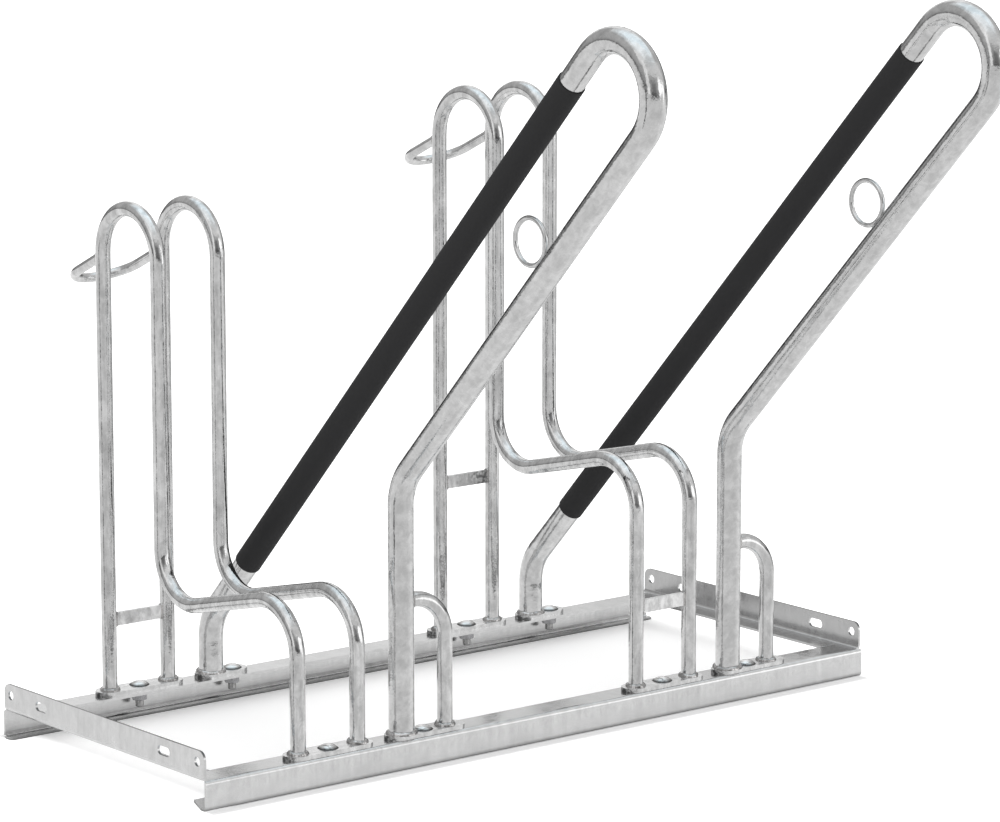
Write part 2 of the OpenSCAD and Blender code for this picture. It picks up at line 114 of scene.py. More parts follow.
RIGHT = Vector((1.0, 0.0, 0.0))
WHITE = (1.0, 1.0, 1.0, 1.0)


class RackSteelSettings(PropertyGroup):
    """Sizes and colours of the hot-dip galvanised steel."""

    tube_colour: FloatVectorProperty(
        name="Tube colour", description="Middle tone of the galvanised tubes",
        subtype="COLOR", size=3, min=0.0, max=1.0, default=(0.72, 0.72, 0.72))
    sheet_colour: FloatVectorProperty(
        name="Sheet colour", description="Middle tone of the galvanised sheet",
        subtype="COLOR", size=3, min=0.0, max=1.0, default=(0.79, 0.79, 0.79))
    weld_colour: FloatVectorProperty(
        name="Weld colour", description="Middle tone of the zinc over the welds",
        subtype="COLOR", size=3, min=0.0, max=1.0, default=(0.56, 0.55, 0.545))
    bead: FloatProperty(
        name="Weld bead", description="Reach of the welds around the tube feet",
        default=0.0034, min=0.003, max=0.005, unit="LENGTH")


class RackFastenerSettings(PropertyGroup):
    """Colour and thread of the zinc plated fasteners."""

    colour: FloatVectorProperty(
        name="Zinc colour", description="Tone of the plated bolts",
        subtype="COLOR", size=3, min=0.0, max=1.0, default=(0.86, 0.855, 0.85))
    # The nuts' low tone is darker zinc together with painted shade from the rail above them
    nut_colour: FloatVectorProperty(
        name="Nut colour", description="Tone of the nuts, washers and pegs under the rails",
        subtype="COLOR", size=3, min=0.0, max=1.0, default=(0.40, 0.40, 0.41))
    thread_pitch: FloatProperty(
        name="Thread pitch", description="Distance from one turn of the thread to the next",
        default=0.0015, min=0.0005, max=0.003, unit="LENGTH")


class RackSleeveSettings(PropertyGroup):
    """Colour of the black sleeves."""

    colour: FloatVectorProperty(
        name="Sleeve colour", description="Tone of the black sleeves",
        subtype="COLOR", size=3, min=0.0, max=1.0, default=(0.022, 0.022, 0.023))


class RackStageSettings(PropertyGroup):
    """Floor, light and camera of the studio."""

    floor_colour: FloatVectorProperty(
        name="Floor colour", description="Colour of the floor",
        subtype="COLOR", size=3, min=0.0, max=1.0, default=(0.93, 0.93, 0.93))
    floor_lift: FloatProperty(
        name="Floor lift", description="Glow that brings the lit floor to white for the camera",
        default=0.20, min=0.0, max=1.0)
    world_light: FloatProperty(
        name="World light", description="Strength of the even light from all round",
        default=1.0, min=0.0, max=3.0)
    room_light: FloatProperty(
        name="Room light", description="Strength of the studio as the zinc mirrors it",
        default=1.35, min=0.0, max=3.0)
    softbox_colour: FloatVectorProperty(
        name="Softbox colour", description="Cool tint of the large softbox overhead",
        subtype="COLOR", size=3, min=0.0, max=2.0, default=(0.89, 1.0, 1.06))
    key_power: FloatProperty(
        name="Key light", description="Power of the large soft light overhead",
        default=10.0, min=0.0, max=2000.0, unit="POWER")
    lens: FloatProperty(
        name="Lens", description="Focal length of the camera in millimetres",
        default=155.65, min=20.0, max=400.0)
    bearing: FloatProperty(
        name="Bearing", description="Direction of view, turned from straight ahead to the right",
        default=math.radians(38.882), subtype="ANGLE")
    tilt: FloatProperty(
        name="Tilt", description="Direction of view below the horizon",
        default=math.radians(10.451), subtype="ANGLE")
    stand: FloatVectorProperty(
        name="Camera place", description="Where the camera stands",
        subtype="XYZ", unit="LENGTH", size=3, default=(-3.13765, -3.82007, 1.30039))


# Nodes and materials

class NodeSheet:
    """Adds nodes to one tree and joins them, so that a material reads top to bottom."""

    def __init__(self, tree):
        self.tree = tree
        tree.nodes.clear()

    def add(self, kind, settings=None, **inputs):
        node = self.tree.nodes.new(kind)
        for key, value in (settings or {}).items():
            setattr(node, key, value)
        for key, value in inputs.items():
            self.feed(node, key.replace("_", " "), value)
        return node

    def feed(self, node, key, value):
        socket = node.inputs[int(key)] if key.isdigit() else node.inputs[key]
        if isinstance(value, bpy.types.NodeSocket):
            self.tree.links.new(value, socket)
        else:
            socket.default_value = value

    def math(self, operation, first, second=0.0):
        node = self.add("ShaderNodeMath", {"operation": operation})
        self.feed(node, "0", first)
        self.feed(node, "1", second)
        return node.outputs[0]

    def total(self, first, *others):
        for other in others:
            first = self.math("ADD", first, other)
        return first

    def times(self, first, *others):
        for other in others:
            first = self.math("MULTIPLY", first, other)
        return first

    def vector(self, operation, first, second=(0.0, 0.0, 0.0)):
        node = self.add("ShaderNodeVectorMath", {"operation": operation})
        self.feed(node, "0", first)
        self.feed(node, "1", second)
        return node.outputs["Value" if operation == "DOT_PRODUCT" else "Vector"]

    def place(self, turn=(0.0, 0.0, 0.0), scale=(1.0, 1.0, 1.0)):
        """Object coordinates, turned so that Z runs along the piece and stretched."""
        spot = self.add("ShaderNodeTexCoord").outputs["Object"]
        if any(turn):
            spot = self.add("ShaderNodeVectorRotate", {"rotation_type": "EULER_XYZ"},
                            Vector=spot, Rotation=turn).outputs["Vector"]
        if tuple(scale) != (1.0, 1.0, 1.0):
            spot = self.vector("MULTIPLY", spot, scale)
        return spot

    def position(self, axis):
        """Distance from the frame's origin along one axis."""
        return self.add("ShaderNodeSeparateXYZ", Vector=self.place()).outputs[axis]

    def facing(self, axis):
        """How far the surface faces along one axis."""
        normal = self.add("ShaderNodeNewGeometry").outputs["Normal"]
        return self.add("ShaderNodeSeparateXYZ", Vector=normal).outputs[axis]

    def noise(self, spot, scale, detail=3.0, roughness=0.55, warp=0.0):
        node = self.add("ShaderNodeTexNoise", Vector=spot, Scale=scale, Detail=detail,
                        Roughness=roughness, Distortion=warp)
        return node.outputs["Fac"]

    def spread(self, value, low, high, to_low, to_high):
        """Carries the range from low to high over to another one, and stops at its ends."""
        node = self.add("ShaderNodeMapRange", {"clamp": True})
        self.feed(node, "Value", value)
        self.feed(node, "From Min", low)
        self.feed(node, "From Max", high)
        self.feed(node, "To Min", to_low)
        self.feed(node, "To Max", to_high)
        return node.outputs["Result"]

    def tone(self, colour, brightness):
        """One colour made lighter and darker by a value around one."""
        node = self.add("ShaderNodeMix", {"data_type": "RGBA", "blend_type": "MULTIPLY"})
        node.inputs["Factor"].default_value = 1.0
        node.inputs["A"].default_value = (*colour, 1.0)
        grey = self.add("ShaderNodeCombineColor",
                        Red=brightness, Green=brightness, Blue=brightness)
        self.tree.links.new(grey.outputs["Color"], node.inputs["B"])
        return node.outputs["Result"]

    def mix(self, share, first, second):
        """The first shader where share is zero, and the second where it is one."""
        node = self.add("ShaderNodeMixShader")
        for socket, value in zip(node.inputs, (share, first.outputs[0], second.outputs[0])):
            self.tree.links.new(value, socket)
        return node

    def finish(self, shader):
        out = self.add("ShaderNodeOutputMaterial")
        self.tree.links.new(shader.outputs[0], out.inputs["Surface"])


def new_material(name):
    material = bpy.data.materials.new(name)
    material.use_nodes = True
    return material, NodeSheet(material.node_tree)


def galvanised(name, colour, turn=(0.0, 0.0, 0.0), gloss=0.30, mottle=0.10, blotch=0.12,
               streak=0.08, grain=0.22, wave=0.6, way=(1.0, 1.0, 0.10), flow=(1.0, 1.0, 0.55),
               shade=None):
    """Hot-dip zinc: clouds, pale blotches, crystal spangle, drain streaks, grains and waves.

    turn brings the piece's length along Z. gloss is the least roughness. mottle, blotch and
    streak are the amounts of tone, and grain and wave those of relief. way and flow stretch
    the streaks and the blotches, and shade gives the piece a tone by place: the painted shade
    and light of the rails, the inner end plate and the foot plates, the darker cut edges of the
    end plates, and the dross of the upper bar.
    """
    material, sheet = new_material(name)
    spot = sheet.place(turn)
    cloud = sheet.noise(spot, 28.0, detail=4.0, roughness=0.6, warp=0.4)
    patches = sheet.noise(sheet.place(turn, flow), 105.0, detail=4.0, roughness=0.62, warp=0.5)
    spangle = sheet.add("ShaderNodeTexVoronoi", {"feature": "SMOOTH_F1"},
                        Vector=spot, Scale=120.0, Smoothness=0.5, Randomness=1.0)
    crystal = sheet.add("ShaderNodeSeparateColor", Color=spangle.outputs["Color"]).outputs["Red"]
    lines = sheet.noise(sheet.place(turn, way), 130.0, roughness=0.6)
    specks = sheet.noise(spot, 380.0, detail=2.0, roughness=0.6)
    tone = sheet.total(sheet.spread(cloud, 0.3, 0.7, 1.0 - mottle, 1.0 + mottle),
                       sheet.spread(crystal, 0.0, 1.0, -0.3 * mottle, 0.3 * mottle),
                       sheet.spread(patches, 0.38, 0.64, -blotch, blotch),
                       sheet.spread(lines, 0.32, 0.68, -streak, streak),
                       sheet.spread(specks, 0.60, 0.74, 0.0, blotch))
    if shade:
        tone = sheet.times(tone, shade(sheet))
    rough = sheet.total(sheet.spread(patches, 0.35, 0.65, gloss - 0.02, gloss + 0.06),
                        sheet.spread(lines, 0.3, 0.7, -0.02, 0.03))
    relief = sheet.total(sheet.times(cloud, 0.9), sheet.times(lines, 0.22),
                         sheet.times(patches, wave), sheet.times(specks, 0.10))
    bump = sheet.add("ShaderNodeBump", Strength=grain, Distance=0.0012, Height=relief)
    shader = sheet.add("ShaderNodeBsdfPrincipled", Metallic=1.0, Roughness=rough,
                       Normal=bump.outputs["Normal"])
    sheet.feed(shader, "Base Color", sheet.tone(colour, tone))
    sheet.finish(shader)
    return material


def front_rail_painted_shade(sheet):
    """Painted shade: a darker flange where it faces up, and darker towards the bend that stands on
    the floor.
    """
    level = sheet.position("Z")
    return sheet.times(sheet.spread(level, 0.0012, 0.0060, 0.56, 1.0),
                       sheet.spread(level, 0.005, 0.028, 0.88, 1.0),
                       sheet.spread(sheet.facing("Z"), 0.90, 1.0, 1.0, 0.84))


def rear_rail_painted_shade(sheet):
    """Painted shade and light inside the rail and on its flange, and a painted dark cut edge on the
    floor.
    """
    level, depth = sheet.position("Z"), sheet.position("Y")
    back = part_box("rear_rail")[1].y

    def passing(start, end, below, above):
        """The tone below up to one height, and the tone above from another."""
        share = sheet.spread(level, start, end, 0.0, 1.0)
        return sheet.total(below, sheet.times(share, sheet.math("SUBTRACT", above, below)))

    # Painted shade: the cut edge darkest at the floor, the lip darker towards its edge and paler by
    # the web, a pale band at the fold, then shade that fades up the web
    edge = sheet.spread(level, 0.0009, 0.0014, 0.34, 0.54)
    lip = sheet.spread(depth, back - 0.0125, back - 0.0085, 0.64, 1.26)
    fold = sheet.spread(level, 0.0037, 0.0043, 1.26, 0.45)
    for start, end, change in REAR_FOLD_SHADE_STEPS:
        fold = sheet.total(fold, sheet.spread(level, start, end, 0.0, change))
    inside = passing(*REAR_LIP_TOP, passing(*REAR_EDGE_TOP, edge, lip), fold)
    outside = sheet.spread(sheet.facing("Y"), 0.05, 0.15, 0.0, 1.0)
    # Painted shade on the flange where it faces up
    return sheet.times(sheet.math("MAXIMUM", inside, outside),
                       sheet.spread(sheet.facing("Z"), 0.90, 1.0, 1.0, 0.90))


def bar_dross(sheet):
    """Coarse dark dross towards the right end of the upper rear bar."""
    low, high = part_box("high_holder_rear_bar")
    width = high.x - low.x
    right = sheet.spread(sheet.position("X"), low.x + 0.45 * width, low.x + 0.75 * width,
                         0.0, 1.0)
    lumps = sheet.spread(sheet.noise(sheet.place(), 190.0, roughness=0.6),
                         0.42, 0.60, 0.34, 0.94)
    return sheet.total(sheet.times(right, lumps), sheet.math("SUBTRACT", 1.0, right))


def cut_edge(sheet):
    """Darker zinc on the upper cut edges of the end plates."""
    edge = sheet.times(sheet.spread(sheet.facing("Z"), 0.25, 0.6, 0.0, 1.0),
                       sheet.math("GREATER_THAN", sheet.position("Z"), END_PLATE_FOOT))
    return sheet.spread(edge, 0.0, 1.0, 1.0, 0.22)


def inner_plate_painted_shade(sheet):
    """Painted shade on the plate that faces into the rack, with darker cut edges."""
    return sheet.times(cut_edge(sheet), sheet.spread(sheet.facing("X"), -0.9, -0.4, 0.74, 1.0))


def plate_end_painted_shade(sheet):
    """Painted shade on the left rounded ends of the foot plates, broken up by lumpy zinc."""
    side = sheet.times(sheet.spread(sheet.facing("X"), -0.85, -0.25, 1.0, 0.0),
                       sheet.spread(sheet.facing("Z"), 0.3, 0.8, 1.0, 0.0))
    lumps = sheet.spread(sheet.noise(sheet.place(), 210.0, detail=2.0), 0.44, 0.58, 0.84, 0.25)
    return sheet.math("SUBTRACT", 1.0, sheet.times(side, lumps))


def zinc_plate(name, colour, gloss, relief=0.5, thread_pitch=0.0, thread_top=0.0, rim=0.0):
    """Bright zinc plating, with a thread below thread_top and painted shade at the seat just above
    rim.
    """
    material, sheet = new_material(name)
    spot = sheet.place()
    cloud = sheet.noise(spot, 160.0, roughness=0.6)
    specks = sheet.noise(spot, 900.0, detail=2.0, roughness=0.6)
    tone = sheet.spread(cloud, 0.3, 0.7, 0.84, 1.10)
    height = sheet.times(sheet.total(specks, sheet.times(cloud, 2.0)), 0.05)
    if thread_pitch:
        level = sheet.position("Z")
        turns = sheet.math("SINE", sheet.times(level, 2.0 * math.pi / thread_pitch))
        below = sheet.math("LESS_THAN", level, thread_top)
        # Below thread_top the thread is darker, as darker zinc and as painted shade under the rail;
        # just above rim is painted shade where the head sits on the plate
        seat = sheet.spread(level, rim + 0.0008, rim + 0.0026, 0.12, 1.0)
        tone = sheet.times(tone, sheet.math("MAXIMUM", sheet.times(below, 0.55), seat))
        groove = sheet.times(turns, below)
        height = sheet.total(height, sheet.times(groove, 0.5))
        # Painted light on the thread's crests and painted shade in its roots
        tone = sheet.total(tone, sheet.times(groove, 0.22))
    bump = sheet.add("ShaderNodeBump", Strength=relief, Distance=0.0006, Height=height)
    shader = sheet.add("ShaderNodeBsdfPrincipled", Metallic=1.0,
                       Roughness=sheet.spread(cloud, 0.3, 0.7, gloss, gloss + 0.10),
                       Normal=bump.outputs["Normal"])
    sheet.feed(shader, "Base Color", sheet.tone(colour, tone))
    sheet.finish(shader)
    return material


def black_sleeve(name, colour, turn):
    """Smooth matt plastic with a faint moulding grain and long rub marks."""
    material, sheet = new_material(name)
    grain = sheet.noise(sheet.place(turn), 700.0, detail=2.0, roughness=0.6)
    rubs = sheet.noise(sheet.place(turn, (1.0, 1.0, 0.05)), 90.0, roughness=0.6)
    tone = sheet.total(sheet.spread(rubs, 0.35, 0.7, 0.94, 1.08),
                       sheet.spread(grain, 0.3, 0.7, -0.04, 0.04))
    bump = sheet.add("ShaderNodeBump", Strength=0.12, Distance=0.0004, Height=grain)
    shader = sheet.add("ShaderNodeBsdfPrincipled", Metallic=0.0,
                       Roughness=sheet.spread(rubs, 0.3, 0.7, 0.62, 0.74),
                       Normal=bump.outputs["Normal"])
    shader.inputs["Specular IOR Level"].default_value = 0.25
    sheet.feed(shader, "Base Color", sheet.tone(colour, tone))
    sheet.finish(shader)
    return material


def dress(node, material):
    """Gives a carried-over CAD node its finish; its mesh is left as it is."""
    slots = NODES[node].data.materials
    slots.clear()
    slots.append(material)


# Weld beads

def solid(name, verts, faces, material):
    """A piece of weld made from its points and faces, fixed to the rack."""
    mesh = bpy.data.meshes.new(name)
    mesh.from_pydata(verts, [], faces)
    mesh.validate()
    mesh.shade_smooth()
    mesh.materials.append(material)
    bead = bpy.data.objects.new(name, mesh)
    bpy.context.scene.collection.objects.link(bead)
    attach(bead, "root")


def sweep(name, points, radius, material, closed=True, sides=10, ripple=0.14, pitch=0.0032):
    """A weld bead: a rippled round string laid along points, thinner at open ends."""
    count = len(points)
    spans = [(points[(i + 1) % count] - points[i]).length for i in range(count)]
    verts, faces, run = [], [], 0.0
    side = None
    for i, point in enumerate(points):
        before = points[i - 1] if closed or i else points[i]
        after = points[(i + 1) % count] if closed or i < count - 1 else points[i]
        along = (after - before).normalized()
        if side is None:
            side = along.orthogonal().normalized()
        side = (side - along * side.dot(along)).normalized()
        other = along.cross(side)
        # An even ripple, and two slower waves that keep the bead from looking turned
        beat = math.sin(2.0 * math.pi * run / pitch)
        drift = math.sin(run * 410.0 + 1.3) * 0.5 + math.sin(run * 957.0) * 0.5
        size = radius * (1.0 + ripple * beat + 0.10 * drift)
        if not closed and i in (0, count - 1):
            size *= 0.45
        for k in range(sides):
            angle = 2.0 * math.pi * k / sides
            verts.append(point + (side * math.cos(angle) + other * math.sin(angle)) * size)
        run += spans[i]
    for i in range(count if closed else count - 1):
        a, b = i * sides, ((i + 1) % count) * sides
        for k in range(sides):
            n = (k + 1) % sides
            faces.append((a + k, a + n, b + n, b + k))
    if not closed:
        faces.append(tuple(reversed(range(sides))))
        faces.append(tuple(range((count - 1) * sides, count * sides)))
    solid(name, [tuple(v) for v in verts], faces, material)


def line(start, end, steps=24):
    return [start.lerp(end, i / steps) for i in range(steps + 1)]


def saddle(start, tube, heading, rod, steps=60):
    """Closed line where a rod meets an upright tube's wall; it leaves the tube's axis at start."""
    first = heading.orthogonal().normalized()
    second = heading.cross(first)
    ring = []
    for i in range(steps):
        t = 2.0 * math.pi * i / steps
        p = start + (first * math.cos(t) + second * math.sin(t)) * rod
        dx, dy = p.x - start.x, p.y - start.y
        a = heading.x ** 2 + heading.y ** 2
        b = 2.0 * (dx * heading.x + dy * heading.y)
        c = dx * dx + dy * dy - tube * tube
        reach = (-b + math.sqrt(max(b * b - 4.0 * a * c, 0.0))) / (2.0 * a)
        ring.append(p + heading * reach)
    return ring


def middle_x(node):
    low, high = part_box(node)
    return (low.x + high.x) / 2.0


class RACK_OT_base_frame(Operator):
    """Finish the two rails and the two end rails in galvanised sheet"""

    bl_idname = "rack.base_frame"
    bl_label = "Base frame"

    def execute(self, context):
        steel = context.scene.rack_steel
        # Both long rails carry painted shade and light by height and facing
        for node, shade in (("front_rail", front_rail_painted_shade), ("rear_rail", rear_rail_painted_shade)):
            dress(node, galvanised(f"Galvanised {node}", steel.sheet_colour, gloss=0.17,
                                   mottle=0.05, blotch=0.03, streak=0.045, grain=0.12,
                                   way=(1.0, 0.06, 0.06), shade=shade))
        # The right end rail's inner face carries painted shade
        for node, shade in (("left_end_rail", cut_edge), ("right_end_rail", inner_plate_painted_shade)):
            dress(node, galvanised(f"Galvanised {node}", steel.sheet_colour, gloss=0.19,
                                   mottle=0.05, blotch=0.04, streak=0.04, grain=0.12,
                                   way=(0.06, 1.0, 0.06), shade=shade))
        seam = galvanised("Ground seam", steel.weld_colour, gloss=0.40, mottle=0.10)
        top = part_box("front_rail")[1].z - SEAM_SINK
        for node, x0, x1 in (("left_end_rail", SEAM_START, SEAM_END),
                             ("right_end_rail", -SEAM_END, -SEAM_START)):
            low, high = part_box(node)
            edge = low.x if x0 > 0 else high.x
            for name, y in (("front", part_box("front_rail")[0].y + SEAM_INSET),
                            ("rear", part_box("rear_rail")[1].y - SEAM_INSET)):
                path = line(Vector((edge + x0, y, top)), Vector((edge + x1, y, top)))
                sweep(f"{node}_{name}_seam", path, SEAM_BEAD, seam, closed=False, ripple=0.10,
                      pitch=0.0025)
        return {"FINISHED"}


class RACK_OT_wheel_holders(Operator):
    """Finish the tubes, flat bars and lock loops of both wheel holders"""

    bl_idname = "rack.wheel_holders"
    bl_label = "Wheel holders"

    def execute(self, context):
        steel = context.scene.rack_steel
        tube = galvanised("Galvanised holder tube", steel.tube_colour, gloss=0.05, mottle=0.07,
                          blotch=0.13, streak=0.13, grain=0.26, wave=1.2)
        bar = galvanised("Galvanised bar", steel.sheet_colour, gloss=0.32, mottle=0.20, blotch=0.20,
                         streak=0.04, grain=0.45, way=(1.0, 1.0, 0.6))
        rough_bar = galvanised("Galvanised upper bar", steel.sheet_colour, gloss=0.32,
                               mottle=0.20, blotch=0.20, streak=0.04, grain=0.5,
                               way=(1.0, 1.0, 0.6), shade=bar_dross)
        loop = galvanised("Galvanised loop", steel.tube_colour, gloss=0.10, mottle=0.12,
                          streak=0.03)
        for holder in HOLDERS:
            dress(f"{holder}_left_tube", tube)
            dress(f"{holder}_right_tube", tube)
            dress(f"{holder}_rear_bar", bar if holder == HOLDERS[0] else rough_bar)
            dress(f"{holder}_lock_loop", loop)
        dress("high_holder_front_bar", bar)
        return {"FINISHED"}


class RACK_OT_leaning_bows(Operator):
    """Finish the bow tubes, their braces and their lock eyes"""

    bl_idname = "rack.leaning_bows"
    bl_label = "Leaning bows"

    def execute(self, context):
        steel = context.scene.rack_steel
        tube = galvanised("Galvanised bow tube", steel.tube_colour, (-BOW_LEAN, 0.0, 0.0),
                          gloss=0.05, mottle=0.075, blotch=0.095, streak=0.06, grain=0.25,
                          wave=1.2, way=(1.0, 1.0, 0.30), flow=(0.9, 0.9, 0.8))
        brace = galvanised("Galvanised brace", steel.tube_colour, gloss=0.07, mottle=0.10,
                           grain=0.18)
        eye = galvanised("Galvanised eye", steel.tube_colour, gloss=0.09, mottle=0.12, streak=0.02)
        for bow in BOWS:
            dress(f"{bow}_tube", tube)
            dress(f"{bow}_brace", brace)
            dress(f"{bow}_lock_eye", eye)
        return {"FINISHED"}


class RACK_OT_sleeves(Operator):
    """Finish the black sleeves on the leaning lines"""

    bl_idname = "rack.sleeves"
    bl_label = "Black sleeves"

    def execute(self, context):
        black = black_sleeve("Black sleeve", context.scene.rack_sleeve.colour,
                             (-BOW_LEAN, 0.0, 0.0))
        for bow in BOWS:
            dress(f"{bow}_sleeve", black)
        return {"FINISHED"}


class RACK_OT_foot_plates(Operator):
    """Finish the foot plates of the holders and bows"""

    bl_idname = "rack.foot_plates"
    bl_label = "Foot plates"

    def execute(self, context):
        # The foot plates carry painted shade on their rounded left ends
        plate = galvanised("Galvanised foot plate", context.scene.rack_steel.sheet_colour,
                           gloss=0.20, mottle=0.10, streak=0.02, grain=0.25, shade=plate_end_painted_shade)
        for part in HOLDERS + BOWS:
            dress(f"{part}_front_foot", plate)
            dress(f"{part}_rear_foot", plate)
        return {"FINISHED"}


class RACK_OT_fasteners(Operator):
    """Finish the bolts, washers, nuts and locating pegs"""

    bl_idname = "rack.fasteners"
    bl_label = "Fasteners"

    def execute(self, context):
        zinc = context.scene.rack_fasteners
        dress("carriage_bolts", zinc_plate("Zinc bolt", zinc.colour, gloss=0.14, relief=0.3,
                                           thread_pitch=zinc.thread_pitch,
                                           thread_top=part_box("nuts")[0].z, rim=PLATE_TOP))
        # Nuts, washers and pegs: darker zinc together with painted shade under the rails
        plain = zinc_plate("Zinc nut", zinc.nut_colour, gloss=0.22)
        for node in ("washers", "nuts", "locating_pegs"):
            dress(node, plain)
        return {"FINISHED"}


class RACK_OT_welds(Operator):
    """Lay the weld beads around the feet, bars, loops, eyes and braces"""

    bl_idname = "rack.welds"
    bl_label = "Weld beads"

    def execute(self, context):
        steel = context.scene.rack_steel
        zinc = galvanised("Zinc over weld", steel.weld_colour, gloss=0.13, mottle=0.22,
                          blotch=0.32, streak=0.0, grain=0.55, wave=1.3)
        for holder in HOLDERS:
            self.holder(holder, steel.bead, zinc)
        for bow in BOWS:
            self.bow(bow, steel.bead, zinc)
        return {"FINISHED"}

    def holder(self, holder, size, zinc):
        """Feet, loop ends and bar ends of one wheel holder."""
        heading = Vector((0.0, math.cos(LOOP_FALL), -math.sin(LOOP_FALL)))
        for side in ("left", "right"):
            x = middle_x(f"{holder}_{side}_tube")
            for row, y in (("front", FRONT_ROW), ("rear", REAR_ROW)):
                self.foot(f"{holder}_{side}_{row}_weld", x, y, HOLDER_TUBE, size, zinc)
            start = Vector((x, REAR_ROW,
                            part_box(f"{holder}_left_tube")[1].z - HOLDER_TUBE - LOOP_DROP))
            sweep(f"{holder}_{side}_loop_weld", saddle(start, HOLDER_TUBE, heading, LOOP_ROD),
                  LOOP_BEAD, zinc)
        inset = 0.0006
        bars = ("rear_bar", "front_bar") if holder == "high_holder" else ("rear_bar",)
        for bar in bars:
            low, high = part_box(f"{holder}_{bar}")
            for side, x in (("left", low.x + inset), ("right", high.x - inset)):
                corners = [Vector((x, low.y, low.z)), Vector((x, low.y, high.z)),
                           Vector((x, high.y, high.z)), Vector((x, high.y, low.z))]
                path = []
                for i in range(4):
                    path += line(corners[i], corners[(i + 1) % 4], 16 if i % 2 == 0 else 5)[:-1]
                sweep(f"{holder}_{bar}_{side}_weld", path, BAR_BEAD, zinc)

    def bow(self, bow, size, zinc):
        """Feet, brace ends and lock eye of one leaning bow."""
        x = middle_x(f"{bow}_tube")
        self.foot(f"{bow}_front_weld", x, FRONT_ROW, BOW_TUBE, size, zinc)
        self.foot(f"{bow}_rear_weld", x, REAR_ROW, BOW_TUBE, size, zinc)
        brace_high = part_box(f"{bow}_brace")[1]
        self.foot(f"{bow}_brace_foot_weld", brace_high.x - BRACE_TUBE, FRONT_ROW, BRACE_TUBE,
                  size, zinc)
        start = Vector((x, FRONT_ROW, brace_high.z - BRACE_TUBE))
        sweep(f"{bow}_brace_weld", saddle(start, BOW_TUBE, RIGHT, BRACE_TUBE), BRACE_BEAD, zinc)
        eye_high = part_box(f"{bow}_lock_eye")[1]
        middle = Vector((x, eye_high.y - EYE, eye_high.z - EYE))
        toward = Vector((0.0, -math.cos(BOW_LEAN), -math.sin(BOW_LEAN)))
        along = Vector((0.0, -math.sin(BOW_LEAN), math.cos(BOW_LEAN)))
        touch = middle + toward * EYE_TOUCH
        half_length, half_gap = 0.007, 0.0026
        for side, shift in (("left", -half_gap), ("right", half_gap)):
            spot = touch + RIGHT * shift
            sweep(f"{bow}_eye_{side}_weld",
                  line(spot - along * half_length, spot + along * half_length, 12),
                  EYE_BEAD, zinc, closed=False)

    @staticmethod
    def foot(name, x, y, tube, size, material, steps=96, rows=7):
        """A lumpy fillet of weld between an upright tube and the plate under it."""
        sunk = 0.0002
        rings = [[] for _ in range(rows)]
        for i in range(steps):
            t = 2.0 * math.pi * i / steps
            out = Vector((math.cos(t), math.sin(t), 0.0))
            spot = Vector((x, y, 0.0)) * 40.0 + out * 1.3
            lump = noise.noise(spot) + 0.6 * noise.noise(spot * 3.1)
            lean = noise.noise(spot + Vector((7.0, 3.0, 5.0)))
            reach = size * (1.02 + 0.24 * max(lump, -0.4))
            height = size * (1.15 + 0.45 * max(lean + 0.5 * lump, -0.5))
            for k in range(rows):
                turn = 0.5 * math.pi * k / (rows - 1)
                ripple = 1.0 + 0.07 * noise.noise(spot * 6.0 + Vector((0.0, 0.0, 2.0 * k)))
                wide = tube - sunk + (reach + sunk) * math.cos(turn) * ripple
                rise = height * math.sin(turn) * ripple
                rings[k].append(Vector((x, y, PLATE_TOP - sunk + rise)) + out * wide)
        verts = [tuple(v) for ring in rings for v in ring]
        faces = [(k * steps + i, k * steps + (i + 1) % steps,
                  (k + 1) * steps + (i + 1) % steps, (k + 1) * steps + i)
                 for k in range(rows - 1) for i in range(steps)]
        solid(name, verts, faces, material)


